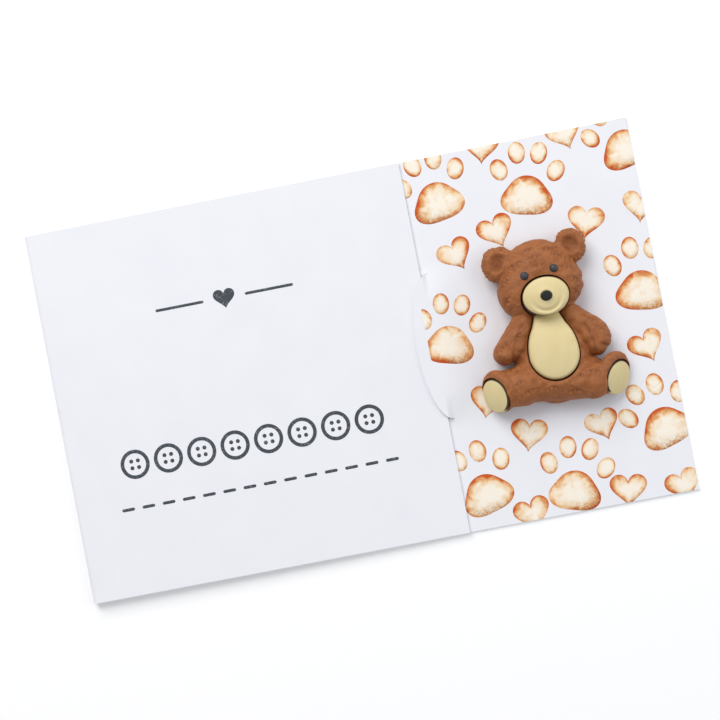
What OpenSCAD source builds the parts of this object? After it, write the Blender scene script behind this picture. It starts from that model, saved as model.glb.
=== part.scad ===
// Folded presentation card with one moulded teddy bear button
// The card lies on its back panel: +X from the fold to the far edge, +Y to the upper edge, +Z up
// Left means the side at -X, right the side at +X

/* [Card] */
// Length of the closed card, from the fold to the far edge
card_length = 90; // [80:1:120]
// Width of the card, along the fold
card_width = 55; // [40:1:80]
// Thickness of the card stock
card_thickness = 0.35; // [0.25:0.05:0.6]
// Length of the front flap, from the fold to its free edge
flap_length = 56.3; // [45:0.1:60]
// Inner radius of the scored fold
fold_radius = 0.4; // [0.2:0.05:0.8]

/* [Tuck tab] */
// Width of the half-oval tab along its root
tab_width = 21.6; // [14:0.1:30]
// Depth of the half-oval tab from its root to its tip
tab_depth = 3.6; // [2.5:0.1:6]
// Distance from the flap's free edge to the tab's root
tab_setback = 1; // [0.8:0.1:2]
// Air between two layers of card
layer_gap = 0.08; // [0.04:0.01:0.2]

/* [Button place] */
// Distance from the card's far edge to the button's middle line
button_inset = 17.1; // [15:0.1:20]
// Height of the button's reference point above the card's middle line
button_rise = 0; // [-6:0.1:6]
// Diameter of a glue dot
glue_diameter = 6; // [3:0.1:8]
// Thickness of a glue dot
glue_thickness = 0.4; // [0.2:0.05:1]

/* [Head] */
// Width of the head across the cheeks
head_width = 12.4; // [10:0.1:15]
// Height of the head from chin to crown
head_height = 10.8; // [9:0.1:13]
// Depth of the head above the button's flat back
head_depth = 5.2; // [4.5:0.1:7]
// Height of the head's centre above the button's reference point
head_rise = 7.1; // [6:0.1:9]
// Tilt of the head
head_tilt = 4; // [-10:1:10]
// Width of an ear
ear_width = 4.4; // [3:0.1:6]
// Height of an ear
ear_height = 5.2; // [3:0.1:6]
// Depth of an ear above the flat back
ear_depth = 3.5; // [2.5:0.1:5]

/* [Body and limbs] */
// Width of the torso
torso_width = 11.2; // [9:0.1:14]
// Height of the torso
torso_height = 14; // [11:0.1:17]
// Depth of the torso above the flat back
torso_depth = 4.5; // [4:0.1:6]
// Distance from the middle line to a paw's centre
arm_reach = 6.8; // [6:0.1:9]
// Distance from the reference point down to a paw's centre
arm_fall = 3.3; // [2:0.1:5]
// Width of an arm
arm_width = 3.6; // [2.5:0.1:5]
// Depth of an arm above the flat back
arm_depth = 3.9; // [3:0.1:5]
// Distance from the middle line to the left foot's centre
leg_reach = 9.3; // [8:0.1:11]
// Distance from the reference point down to the left foot's centre
leg_fall = 8.1; // [7:0.1:10]
// Diameter of a thigh
thigh_diameter = 5.7; // [4:0.1:7]
// Diameter of a foot
foot_diameter = 6.3; // [5:0.1:8]
// Thickness of a foot
foot_thickness = 1.9; // [1.4:0.1:3]

/* [Inlays] */
// Width of the muzzle
muzzle_width = 6.7; // [5:0.1:8]
// Height of the muzzle
muzzle_height = 5.55; // [4.5:0.05:7]
// Height of the muzzle's top above the flat back
muzzle_top = 6.4; // [5.8:0.1:8]
// Width of the belly at its widest
belly_width = 7.1; // [5:0.05:9]
// Height of the belly's top above the flat back
belly_top = 5; // [4.6:0.1:6]
// Height of the inlay pocket's floor above the flat back
inlay_floor = 2.4; // [2:0.1:3.5]
// Open groove round the muzzle and belly
inlay_gap = 0.24; // [0.05:0.01:0.4]
// Diameter of a foot pad
pad_diameter = 5.1; // [4:0.1:6]
// Width of the nose
nose_width = 1.7; // [1:0.05:2.5]
// Height of the nose
nose_height = 1.45; // [1:0.05:2]
// Diameter of an eye
eye_diameter = 1.2; // [0.8:0.05:1.8]

/* [Hidden] */

$fn = 72;
// Sides of the rounded forms that are blended into the body
form_sides = 24;
// How far every cut runs past the face it opens
overrun = 0.5;

// Card: the fold is a half ring, and the flap slopes down from it to the tab
fold_outer = fold_radius + card_thickness;
fold_x = fold_outer - card_length / 2;
flap_run = flap_length - fold_outer;
flap_slope = asin((2 * fold_radius - layer_gap) / flap_run);
flap_edge_x = flap_length - card_length / 2;
tab_root_x = flap_edge_x + tab_setback;
// Rise of the tab from the back panel to its place on top of the flap
tab_rise = 2 * (card_thickness + layer_gap);
tab_ramp_steps = 12;
fold_steps = 24;
// Width of the cut round the tab
slit_width = 0.06;

// Button: heights are measured from its flat back
button_x = card_length / 2 - button_inset;
button_z = card_thickness + glue_thickness;
button_space = 2 * (leg_reach + foot_diameter);
glue_shares = [0.97, -0.9];

// Head: a crown and two cheeks blended together, all centred below half depth
head_belt_share = 0.3;
crown_wide_share = 0.84;
crown_tall_share = 0.926;
cheek_share = 0.645;
left_ear_shares = [-0.863, 0.574];
right_ear_shares = [0.911, 0.585];
// Ear root: a smaller copy of the ear set towards the head; only the left ear shows one
left_ear_root_shares = [0.216, 0.06];
right_ear_root_shares = [0, 0];
ear_root_scale = 0.84;
ear_belt_share = 0.49;
ear_dish_share = 0.7;
ear_dish_shift_share = 0.5;
ear_dish_depth = 0.75;

// Torso and hips
torso_drop = 4.5;
torso_belt_share = 0.18;
hip_diameter = 6.1;
hip_height = 1.6;

// Arms: places from shoulder to paw as shares of the reach and the fall
left_arm_shares = [[-0.485, 0.333], [-0.72, -0.555], [-1.007, -0.894]];
right_arm_shares = [[0.485, 0.333], [0.941, -0.667], [1, -1.02], [0.949, -1.273]];
left_arm_size_shares = [0.917, 1.17, 0.944];
right_arm_size_shares = [0.89, 1.14, 1.11, 0.972];
arm_belt_share = 0.38;

// Legs: hip, thigh and foot as shares of the reach and the fall, then the way the sole faces
left_leg_shares = [[-0.45, -0.92], [-0.57, -0.99], [-1, -1.005]];
right_leg_shares = [[0.495, -1.06], [0.56, -1.117], [0.914, -1.085]];
left_sole_turn = 191;
left_sole_lean = 52;
left_ankle_share = 0.95;
right_sole_turn = -28;
right_sole_lean = 48;
right_ankle_share = 0.6;
thigh_height = 2.2;
// Clear height under the lowest edge of a sole
sole_clear = 0.25;
foot_edge = foot_thickness / 2;

// Muzzle and belly
muzzle_drop = 3.08;
muzzle_dome = 6.5;
belly_dome = 14;
// Belly outline: a low and a high half oval about its widest line, and a taper up to the neck
belly_drop = 4.2;
belly_low = 3.75;
belly_high = 5.5;
neck_width = 3.4;
neck_rise = 1.6;
taper_shares = [0.87, 0.42];
// Smile: a shallow curved groove in the muzzle
smile_radius = 2.2;
smile_width = 0.22;
smile_depth = 0.18;
smile_half_angle = 62;

// Foot pads, nose and eyes
pad_seat = 0.6;
pad_stand = 0.2;
pad_dome = 8;
pad_reach = 0.35;
pad_drop = 0.5;
pad_gap = 0.24;
nose_seat = 0.6;
nose_stand = 0.5;
nose_dome = 1.4;
eye_top = 5.5;
eye_length = 1.6;
eye_dome = 0.65;
// Gap between an eye and the muzzle, and where the eyes sit round it
eye_clear = 0.62;
eye_angle = 28;
// Clearance of a peg in its hole
peg_gap = 0.03;

// Sewing recess in the back, with a bar across it
recess_diameter = 5.2;
recess_depth = 1.8;
recess_rise = 0.6;
bar_width = 1.5;
bar_depth = 0.9;

fur_colour = "#9c5d3a";
cream_colour = "#dcc896";
dark_colour = "#2b2b2d";
card_colour = "#f2f3f8";
glue_colour = "#e8ecec";

function spread(shares, size) = [for (s = shares) [s.x * size.x, s.y * size.y]];

arm_size = [arm_reach, arm_fall];
leg_size = [leg_reach, leg_fall];
left_arm = spread(left_arm_shares, arm_size);
right_arm = spread(right_arm_shares, arm_size);
left_leg = spread(left_leg_shares, leg_size);
right_leg = spread(right_leg_shares, leg_size);

// Frames: the button on the card, the head on the button, a sole on its foot
module on_button() {
    translate([button_x, button_rise, button_z]) children();
}

module on_head() {
    translate([0, head_rise, 0]) rotate([0, 0, head_tilt]) children();
}

module on_muzzle() {
    on_head() translate([0, -muzzle_drop, 0]) children();
}

module on_sole(place, turn, lean) {
    height = foot_diameter / 2 * sin(lean) + sole_clear;
    translate([place.x, place.y, height]) rotate([0, lean, turn]) children();
}

module on_pad(place, turn, lean, side) {
    on_sole(place, turn, lean) translate([pad_reach, -side * pad_drop, 0]) children();
}

module on_eye(side) {
    off = eye_diameter / 2 + eye_clear;
    place = [
        side * (muzzle_width / 2 + off) * sin(eye_angle),
        (muzzle_height / 2 + off) * cos(eye_angle),
        eye_top - eye_length
    ];
    on_muzzle() translate(place) children();
}

// Shared shapes
module oval(width, height) {
    scale([1, height / width]) circle(d = width);
}

module ellipsoid(radii) {
    scale([1, radii.y / radii.x, radii.z / radii.x]) sphere(r = radii.x, $fn = form_sides);
}

// Round peg standing on its flat end, with a domed top
module domed_peg(radius, length, dome) {
    sag = dome - sqrt(dome * dome - radius * radius);
    cylinder(h = length - sag, r = radius);
    intersection() {
        cylinder(h = length, r = radius);
        translate([0, 0, length - dome]) sphere(r = dome);
    }
}

// Folded card
function tab_line(u) = [tab_root_x - u * tab_setback, tab_rise * u * u * (3 - 2 * u)];

module tab_section() {
    us = [for (i = [0 : tab_ramp_steps]) i / tab_ramp_steps];
    root = [tab_root_x + overrun, 0];
    tip = [tab_root_x - tab_depth - overrun, tab_line(1).y + tab_depth * sin(flap_slope)];
    under = concat([root], [for (u = us) tab_line(u)], [tip]);
    last = len(under) - 1;
    polygon(concat(under, [for (i = [0 : last]) under[last - i] + [0, card_thickness]]));
}

function arc(radius, from, to) =
    [for (i = [0 : fold_steps]) let (a = from + (to - from) * i / fold_steps) radius * [cos(a), sin(a)]];

function along_flap(run, height) =
    [run * cos(flap_slope) + height * sin(flap_slope), height * cos(flap_slope) - run * sin(flap_slope)];

// One outline round both panels, drawn about the fold's centre
module card_section() {
    far_x = card_length / 2 - fold_x;
    translate([fold_x, fold_outer]) polygon(concat(
        [[far_x, -fold_outer]],
        arc(fold_outer, 270, 90 - flap_slope),
        [along_flap(flap_run, fold_outer), along_flap(flap_run, fold_radius)],
        arc(fold_radius, 90 - flap_slope, 270),
        [[far_x, -fold_radius]]
    ));
}

module across(width) {
    translate([0, width / 2, 0]) rotate([90, 0, 0]) linear_extrude(width) children();
}

module tab_outline(shrink) {
    translate([tab_root_x, 0]) rotate(90) half_oval(tab_width - 2 * shrink, tab_depth - shrink, true);
}

module folded_card() {
    color(card_colour) {
        difference() {
            across(card_width) card_section();
            translate([0, 0, -overrun])
                linear_extrude(overrun + card_thickness + layer_gap / 2) tab_outline(0);
        }
        intersection() {
            across(tab_width) tab_section();
            translate([0, 0, -overrun]) linear_extrude(2 * (tab_rise + card_thickness)) {
                tab_outline(slit_width);
                translate([tab_root_x, slit_width - tab_width / 2])
                    square([overrun, tab_width - 2 * slit_width]);
            }
        }
    }
}

// Glue dots under the head and under the seat
module glue_dots() {
    color(glue_colour)
    for (share = glue_shares) {
        rise = share > 0 ? share * head_rise : share * leg_fall;
        translate([button_x, button_rise + rise, card_thickness])
            cylinder(h = glue_thickness, d = glue_diameter);
    }
}

// Bear body
module head() {
    half = [head_width, head_height] / 2;
    belt = head_depth * head_belt_share;
    swell = head_depth - belt;
    crown = [half.x * crown_wide_share, half.y * crown_tall_share, swell];
    cheek = half.x * cheek_share;
    hull() {
        translate([0, half.y - crown.y, belt]) ellipsoid(crown);
        for (side = [-1, 1])
            translate([side * (half.x - cheek), cheek - half.y, belt]) ellipsoid([cheek, cheek, swell]);
    }
}

module ear(side, place_shares, root_shares) {
    belt = ear_depth * ear_belt_share;
    swell = ear_depth - belt;
    radii = [ear_width / 2, ear_height / 2, swell];
    dish = ear_width / 2 * ear_dish_share;
    translate([place_shares.x * head_width / 2, place_shares.y * head_height / 2, belt])
        difference() {
            hull() {
                ellipsoid(radii);
                translate([-side * root_shares.x * ear_width, root_shares.y * ear_height, 0])
                    scale(ear_root_scale) ellipsoid(radii);
            }
            translate([-side * dish * ear_dish_shift_share, 0, swell]) ellipsoid([dish, dish, ear_dish_depth]);
        }
}

module torso() {
    belt = torso_depth * torso_belt_share;
    translate([0, -torso_drop, belt]) ellipsoid([torso_width / 2, torso_height / 2, torso_depth - belt]);
    hull() {
        for (hip = [left_leg[0], right_leg[0]])
            translate([hip.x, hip.y, hip_height]) sphere(d = hip_diameter, $fn = form_sides);
    }
}

module arm(places, size_shares) {
    belt = arm_depth * arm_belt_share;
    hull() {
        for (i = [0 : len(places) - 1]) {
            radius = arm_width / 2 * size_shares[i];
            translate([places[i].x, places[i].y, belt]) ellipsoid([radius, radius, arm_depth - belt]);
        }
    }
}

module leg(places, turn, lean, ankle_share) {
    hull() {
        translate([places[1].x, places[1].y, thigh_height]) sphere(d = thigh_diameter, $fn = form_sides);
        on_sole(places[2], turn, lean) translate([0, 0, -foot_thickness])
            sphere(d = thigh_diameter * ankle_share, $fn = form_sides);
    }
    hull() {
        on_sole(places[2], turn, lean) translate([0, 0, -foot_edge])
            rotate_extrude($fn = form_sides) translate([foot_diameter / 2 - foot_edge, 0])
                circle(r = foot_edge, $fn = form_sides);
    }
}

module half_oval(width, rise, up) {
    intersection() {
        oval(width, 2 * rise);
        translate([-width, up ? 0 : -2 * rise]) square([2 * width, 2 * rise]);
    }
}

module belly_outline(grow) {
    foot = [belly_width / 2 * taper_shares.x + grow, belly_high * taper_shares.y];
    neck = [neck_width / 2 + grow, belly_drop + neck_rise];
    translate([0, -belly_drop]) {
        half_oval(belly_width + 2 * grow, belly_low + grow, false);
        half_oval(belly_width + 2 * grow, belly_high + grow, true);
        polygon([[-foot.x, foot.y], foot, neck, [-neck.x, neck.y]]);
    }
}

module muzzle_outline(grow) {
    oval(muzzle_width + 2 * grow, muzzle_height + 2 * grow);
}

module inlay_pocket() {
    translate([0, 0, inlay_floor]) linear_extrude(button_space) {
        belly_outline(inlay_gap);
        on_muzzle() muzzle_outline(inlay_gap);
    }
}

module sewing_recess() {
    translate([0, recess_rise, -overrun]) cylinder(h = overrun + recess_depth, d = recess_diameter);
}

module sewing_bar() {
    translate([-bar_width / 2, recess_rise - recess_diameter / 2 - overrun, 0])
        cube([bar_width, recess_diameter + 2 * overrun, bar_depth]);
}

module bear_body() {
    color(fur_colour)
    on_button() {
        difference() {
            intersection() {
                union() {
                    on_head() {
                        head();
                        ear(-1, left_ear_shares, left_ear_root_shares);
                        ear(1, right_ear_shares, right_ear_root_shares);
                    }
                    torso();
                    arm(left_arm, left_arm_size_shares);
                    arm(right_arm, right_arm_size_shares);
                    leg(left_leg, left_sole_turn, left_sole_lean, left_ankle_share);
                    leg(right_leg, right_sole_turn, right_sole_lean, right_ankle_share);
                }
                translate([-button_space / 2, -button_space / 2, 0]) cube(button_space);
            }
            inlay_pocket();
            for (side = [-1, 1])
                on_eye(side) cylinder(h = button_space, r = eye_diameter / 2 + peg_gap);
            on_pad(left_leg[2], left_sole_turn, left_sole_lean, -1) pad_pocket();
            on_pad(right_leg[2], right_sole_turn, right_sole_lean, 1) pad_pocket();
            sewing_recess();
        }
        sewing_bar();
    }
}

// Inlays
module muzzle_and_belly() {
    color(cream_colour)
    on_button() difference() {
        union() {
            intersection() {
                translate([0, 0, inlay_floor]) linear_extrude(belly_top) belly_outline(0);
                translate([0, -belly_drop, belly_top - belly_dome]) sphere(r = belly_dome);
            }
            on_muzzle() intersection() {
                translate([0, 0, inlay_floor]) linear_extrude(muzzle_top) muzzle_outline(0);
                translate([0, 0, muzzle_top - muzzle_dome]) sphere(r = muzzle_dome);
            }
        }
        on_muzzle() {
            translate([0, 0, muzzle_top - nose_seat])
                linear_extrude(nose_seat + overrun)
                    oval(nose_width + 2 * peg_gap, nose_height + 2 * peg_gap);
            smile_groove();
        }
    }
}

module smile_groove() {
    difference() {
        rotate([0, 0, -90 - smile_half_angle]) translate([0, 0, inlay_floor])
            rotate_extrude(angle = 2 * smile_half_angle)
                translate([smile_radius - smile_width / 2, 0]) square([smile_width, muzzle_top]);
        translate([0, 0, muzzle_top - muzzle_dome]) sphere(r = muzzle_dome - smile_depth);
    }
}

module pad_pocket() {
    translate([0, 0, -pad_seat]) cylinder(h = pad_seat + foot_diameter, r = pad_diameter / 2 + pad_gap);
}

module foot_pad() {
    translate([0, 0, -pad_seat]) domed_peg(pad_diameter / 2, pad_seat + pad_stand, pad_dome);
}

module left_foot_pad() {
    color(cream_colour) on_button() on_pad(left_leg[2], left_sole_turn, left_sole_lean, -1) foot_pad();
}

module right_foot_pad() {
    color(cream_colour) on_button() on_pad(right_leg[2], right_sole_turn, right_sole_lean, 1) foot_pad();
}

module nose() {
    length = nose_seat + nose_stand;
    color(dark_colour) on_button() on_muzzle() translate([0, 0, muzzle_top - nose_seat])
        intersection() {
            linear_extrude(length) oval(nose_width, nose_height);
            translate([0, 0, length - nose_dome]) sphere(r = nose_dome);
        }
}

module eye(side) {
    color(dark_colour) on_button() on_eye(side) domed_peg(eye_diameter / 2, eye_length, eye_dome);
}

module left_eye() {
    eye(-1);
}

module right_eye() {
    eye(1);
}

folded_card();
glue_dots();
bear_body();
muzzle_and_belly();
left_foot_pad();
right_foot_pad();
nose();
left_eye();
right_eye();
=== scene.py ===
"""Looks of a folded gift card with a moulded teddy bear button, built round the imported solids.

Shape functions work in millimetres. The button's own frame has its flat back at z = 0.
"""

import math
from functools import partial

import bpy
import numpy as np
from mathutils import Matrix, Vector


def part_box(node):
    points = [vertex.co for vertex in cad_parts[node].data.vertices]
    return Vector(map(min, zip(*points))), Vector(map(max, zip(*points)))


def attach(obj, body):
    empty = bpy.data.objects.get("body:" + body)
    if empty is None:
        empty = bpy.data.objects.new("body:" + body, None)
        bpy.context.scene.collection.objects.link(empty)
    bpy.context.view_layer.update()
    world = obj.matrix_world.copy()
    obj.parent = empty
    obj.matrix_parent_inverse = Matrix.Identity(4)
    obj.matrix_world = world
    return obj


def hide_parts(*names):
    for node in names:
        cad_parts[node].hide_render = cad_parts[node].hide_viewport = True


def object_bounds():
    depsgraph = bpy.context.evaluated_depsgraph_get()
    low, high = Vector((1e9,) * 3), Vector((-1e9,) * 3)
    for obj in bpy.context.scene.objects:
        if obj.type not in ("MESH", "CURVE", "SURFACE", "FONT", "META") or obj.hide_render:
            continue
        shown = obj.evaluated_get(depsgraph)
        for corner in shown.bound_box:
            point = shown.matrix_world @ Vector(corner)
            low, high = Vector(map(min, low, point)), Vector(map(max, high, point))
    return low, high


bl_info = {
    "name": "Button card",
    "version": (1, 0, 0),
    "blender": (4, 5, 0),
    "location": "View3D > Sidebar > Button card",
    "description": "Folded gift card with a moulded teddy bear button",
    "category": "Add Mesh",
}

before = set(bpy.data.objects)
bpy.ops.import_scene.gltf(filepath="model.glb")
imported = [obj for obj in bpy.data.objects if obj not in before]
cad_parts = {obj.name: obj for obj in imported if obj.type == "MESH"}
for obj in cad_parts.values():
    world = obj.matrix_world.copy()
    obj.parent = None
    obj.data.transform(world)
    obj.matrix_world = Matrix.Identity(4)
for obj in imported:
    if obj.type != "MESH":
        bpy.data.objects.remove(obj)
CAD_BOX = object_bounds()
MM = 0.001
SEED = 20

# Places in millimetres: the card's, and the button's, on its glue dots
CARD = (0, 0, 0)
BUTTON = (sum(v.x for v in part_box("glue_dots")) / 2 / MM, 0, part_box("bear_body")[0].z / MM)

# Angles in degrees over which an edge stays sharp
CARD_SHARP, INK_SHARP, GLUE_SHARP, FUR_SHARP, CREAM_SHARP, BEAD_SHARP = 30, 60, 40, 48, 50, 60

# Stage. Lamps with place, power, size and colour: soft from the upper left, weaker from the right.
# The camera's focal length is 1400 pixels in a frame of 720, about 0.2 m from the card
FLOOR_RADIUS, FLOOR_LOW, FLOOR_TOP = 2000, -2.0, -0.03
LAMPS = (
    ("key", (-0.17, 0.42, 0.44), 3.0, 0.45, (1.0, 0.985, 0.96)),
    ("fill", (0.5, 0.08, 0.36), 1.2, 0.6, (0.96, 0.98, 1.0)),
)
LAMP_AIM = np.array([0.01, 0, 0])
SENSOR, FOCAL_SHARE, CLIP = 36, 1400 / 720, (0.01, 10)
CAMERA_AT, CAMERA_TURN = (0.009018, -0.00346, 0.205325), (0.5501, 2.5925, -10.9812)

# Sheet: grid counts along the panel, round the fold, along the flap and across half the card
PANEL_STEPS, FOLD_STEPS, FLAP_STEPS, ACROSS_STEPS = (24, 72, 40), 33, 70, (16, 44, 16)
SLIT_STEPS, SLIT_LOW, BOW_FADE = 145, -0.3, 0.35

# Ink: thickness of a film, rows of a wash near the ramp, of others and of a mark, and how near
INK, RAMP_ROWS, WASH_ROWS, MARK_ROWS, RAMP_MARGIN = 0.02, 18, 8, 4, 3
# How the wash pools: powers of the way to the rim, unevenness round it, ranges of the random turns
RIM_POWER, POOL_POWER, RIM_SWAY, RIM_TURN, POOL_TURN = 2.2, 3, 0.2, 6.28, 0.5
# Paw print in shares of its size: width, height, dent, lobes, turn, place and depth of the pool
PAW_PARTS = (
    (0.5, 0.64, 0.1, 3, 90, (0, -0.2), 0.9),
    (0.21, 0.29, 0.03, 2, 24, (-0.36, 0.14), 0.35), (0.21, 0.29, 0.03, 2, 8, (-0.14, 0.36), 0.35),
    (0.21, 0.29, 0.03, 2, -8, (0.14, 0.36), 0.35), (0.21, 0.29, 0.03, 2, -24, (0.36, 0.14), 0.35),
)
HEART_POOL = 0.6
# Wash motifs on the printed panel: place, size and turn in degrees
PAWS = (
    (14.2, -20.5, 11.5, 16), (14.0, 1.8, 11.0, -14), (15.5, 22.8, 11.5, 10),
    (29.2, 21.2, 11.5, -12), (43.6, 25.0, 11.0, 14), (42.8, 4.4, 11.5, -10),
    (41.4, -15.8, 11.5, 18), (28.0, -22.4, 11.5, -16),
)
HEARTS = (
    (23.4, 14.8, 5.4, 14), (23.6, 27.3, 5.2, -10), (36.4, 13.6, 5.4, -16), (35.8, 26.9, 5.2, 12),
    (22.4, -15.2, 5.4, -14), (20.8, -26.6, 5.4, 10), (35.0, -25.8, 5.4, -8), (33.2, -15.8, 5.0, 12),
    (41.6, -5.8, 5.2, 16), (44.6, 14.4, 5.2, -12), (43.0, -26.6, 5.2, 14), (17.0, 12.6, 5.2, 20),
    (17.4, -9.4, 5.2, -18),
)
# Marks on the flap: a small heart between two rules, a row of button icons and a running stitch
MARK_HEART, MARK_HEART_AT = 3.2, (-17.5, 12.9)
RULE, RULE_X, RULE_Y = (7.2, 0.42), (-24.2, -10.8), 13.0
ICON, ICON_X, ICON_Y, ICON_HOLE = (2.15, 1.62), np.linspace(-35, 0, 8), -8.5, 0.3
HOLES = ((-0.5, -0.5), (-0.5, 0.5), (0.5, -0.5), (0.5, 0.5))
STITCH, STITCH_X, STITCH_Y = (1.9, 0.46), np.linspace(-37.2, 2.2, 14), -14.9

# Balls of the body's forms, each a centre and its radii along x, y and z. Head and ears are in the
# head's frame, which lies above the button's origin and is tilted
HEAD_RISE, HEAD_TILT = 7.1, math.radians(4)
HEAD = (
    (0, 0.4, 1.56, 5.21, 5.0, 3.64), (-2.4, -1.65, 1.56, 4.0, 4.0, 3.64),
    (2.2, -1.4, 1.56, 4.0, 4.0, 3.64),
)
EARS = ((-5.35, 3.1, 1.715), (5.65, 3.16, 1.715))
EAR_ROOTS = ((-4.4, 3.41, 1.715), (5.65, 3.16, 1.715))
EAR_RADII, EAR_ROOT_SCALE = np.array([2.2, 2.6, 1.785]), 0.84
TORSO = ((0, -4.5, 0.81, 5.6, 7.0, 3.69),)
HIPS = ((-4.185, -7.45, 1.6, 3.05, 3.05, 3.05), (4.6, -8.59, 1.6, 3.05, 3.05, 3.05))
LEFT_ARM = (
    (-3.3, 1.1, 1.48, 1.65, 1.65, 2.42), (-4.9, -1.83, 1.48, 2.1, 2.1, 2.42),
    (-6.85, -2.95, 1.48, 1.7, 1.7, 2.42),
)
RIGHT_ARM = (
    (3.3, 1.1, 1.48, 1.6, 1.6, 2.42), (6.4, -2.2, 1.48, 2.05, 2.05, 2.42),
    (6.85, -3.2, 1.48, 1.92, 1.92, 2.42), (6.3, -4.1, 1.48, 1.6, 1.6, 2.42),
)
# Feet: sole's middle, turn about Z and lean. Legs: foot, thigh's centre and radius, ankle's radius
FOOT_RADIUS, FOOT_EDGE, SOLE_CLEAR = 3.15, 0.82, 0.25
LEFT_FOOT = (-9.3, -8.14, math.radians(191), math.radians(52))
RIGHT_FOOT = (8.5, -8.79, math.radians(-28), math.radians(45))
ANKLE = np.array([0, 0, -1.9])
LEGS = ((LEFT_FOOT, (-5.3, -8.02, 2.2), 2.85, 2.71), (RIGHT_FOOT, (4.8, -9.0, 2.1), 2.75, 1.71))

# Inlays and their pockets
INLAY_FLOOR, POCKET_TOP, PAD_POCKET_TOP = 2.4, 12, 6
MUZZLE_DROP, MUZZLE_HALF, MUZZLE_TOP, MUZZLE_DOME, MUZZLE_STEPS = 3.08, (3.35, 2.775), 6.4, 6.5, 64
# Ridges round the muzzle's middle: radius of the middle line, width and height
SMILE, LIP, SEAT, SMILE_SPREAD = (2.1, 0.28, -0.2), (2.55, 0.2, 0.08), (0.95, 0.18, 0.07), 1.25
BELLY_Y, BELLY_HALF, BELLY_LOW, BELLY_HIGH = -4.2, 3.55, 3.75, 5.5
BELLY_TOP, BELLY_DOME, BELLY_MIDDLE, BELLY_STEPS = 5.0, 14.0, BELLY_Y + 0.6, 48
TAPER_FOOT, TAPER_NECK = (3.09, -1.89), (1.7, 1.6)
PAD_RADIUS, PAD_SEAT, PAD_STAND, PAD_DOME, PAD_RIM, PAD_STEPS = 2.55, 0.6, 0.36, 8.5, 0.24, 48
PAD_REACH, RIGHT_PAD_REACH, PAD_DROP = 0.35, 0.45, 0.5
NOSE_HALF, NOSE_SEAT, NOSE_STAND = (0.85, 0.725), 0.6, 0.5
NOSE_DOME, NOSE_RIM, NOSE_STEPS = 1.4, 0.22, 40
EYE_RADIUS, EYE_TOP, EYE_LENGTH, EYE_DOME, EYE_RIM, EYE_STEPS = 0.6, 5.5, 1.6, 0.65, 0.05, 32
EYE_SPREAD, EYE_RISE = 2.145, 3.527
# Moulded plastics: roughness, width of the grain and specular level
CREAM_FINISH, NOSE_FINISH, EYE_FINISH = (0.55, 0.3, 0.4), (0.5, 0.18, 0.22), (0.4, 0.18, 0.4)
# Recess and sewing bar in the button's back
RECESS_RADIUS, RECESS_Y, RECESS_LOW, RECESS_TOP = 2.6, 0.6, -0.5, 1.8
BAR = np.array([[-0.75, -2.5], [0.75, -2.5], [0.75, 3.7], [-0.75, 3.7]])
BAR_LOW, BAR_TOP = 0.01, 0.9
# Glue: rows and columns of a dot, and its bulge as a share of its radius
DROP_ROWS, DROP_COLS, DROP_BULGE = 13, 96, 0.06

# Fur: seeded waves, each with its seed and its lengths along and across
LUMPS, STROKES, PATCHES = (SEED, 2.2, 2.0), (SEED + 1, 1.5, 0.9), (SEED + 2, 2.2, 2.4)
BENDS, SCALLOPS = (SEED + 3, 3.5, 3.0), (SEED + 4, 1.6, 0.75)
PEBBLES, CROSS_PEBBLES, PEBBLE_HEIGHT = (SEED + 5, 0.55, 0.34), (SEED + 6, 0.55, 0.34), 0.035
# Flow: where the head's fur gives way to the body's, the face's radius, lean and bend of the flow
NECK_Y, NECK_BLEND, FACE_RADIUS, FLOW_LEAN, FLOW_BEND = 1.6, 0.5, 5.0, 0.3, 0.5
# A strand's width, length and depth, and level and gain of the patches where strokes show
STRAND = (0.42, 0.9, 0.8)
PATCH_LEVEL, PATCH_GAIN = 0.5, 0.7
# Ridges of the fur: distance of the middle line, width and height; for the crease's painted shade
# the height is how dark the crease is painted. Those of a tuft, which is three mounds under scallop
# arcs, are in shares of its size
STROKE_DIP, MOUND, ARC, EAR_EDGE = (0, 0.32, 1), (0, 0.75, 0.7), (1.05, 0.4, 1), (2.4, 0.5, 0.08)
CREASE, SOFT_CREASE, CREASE_SHADE = (0, 0.22, 1), (0, 0.6, 0.4), (0, 0.3, 0.28)
INLAY_DIP, INLAY_CALM = (0, 0.25, 1), 0.8
MOUND_STEP, MOUND_SAG, ARC_START, ARC_FADE, EAR_TURN = 1.7, 0.4, 0.1, 0.25, 2.4
# How relief dies out: the tufts off the front, and all of it round the side and towards the back
TUFT_FACING, SIDE_START, SIDE_FADE, BACK_FADE = 0.6, -0.35, 0.5, 0.6
# Dishes in the ears, which end where the head begins
DISH_INSET, DISH_RISE, DISH_HALF, DISH_POWER, DISH_LOW = 0.2, 0.1, (1.65, 1.6), 1.5, 1.2
HEAD_HALF, HEAD_EDGE, HEAD_EDGE_WIDTH = (5.6, 5.4), 0.92, 0.14
# Rounds of smoothing after the blend and after the dishes, above this height over the back
BLEND_ROUNDS, DISH_ROUNDS, BACK_EDGE = 14, 3, 0.1
# Painted shade: how far each kind of hollow is darkened where shade falls in it, and the most of it
STROKE_SHADE, TUFT_SHADE, DISH_SHADE, POCKET_SHADE, MOST_SHADE = 0.2, 0.34, 0.6, 0.8, 0.85
# Painted shade on the inlays' rims, where the groove's shadow falls: strength, reach from the rim,
# and fade
MUZZLE_RIM_SHADE, PAD_RIM_SHADE = (0.95, 0.14, 0.06), (0.97, 0.2, 0.08)
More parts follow.
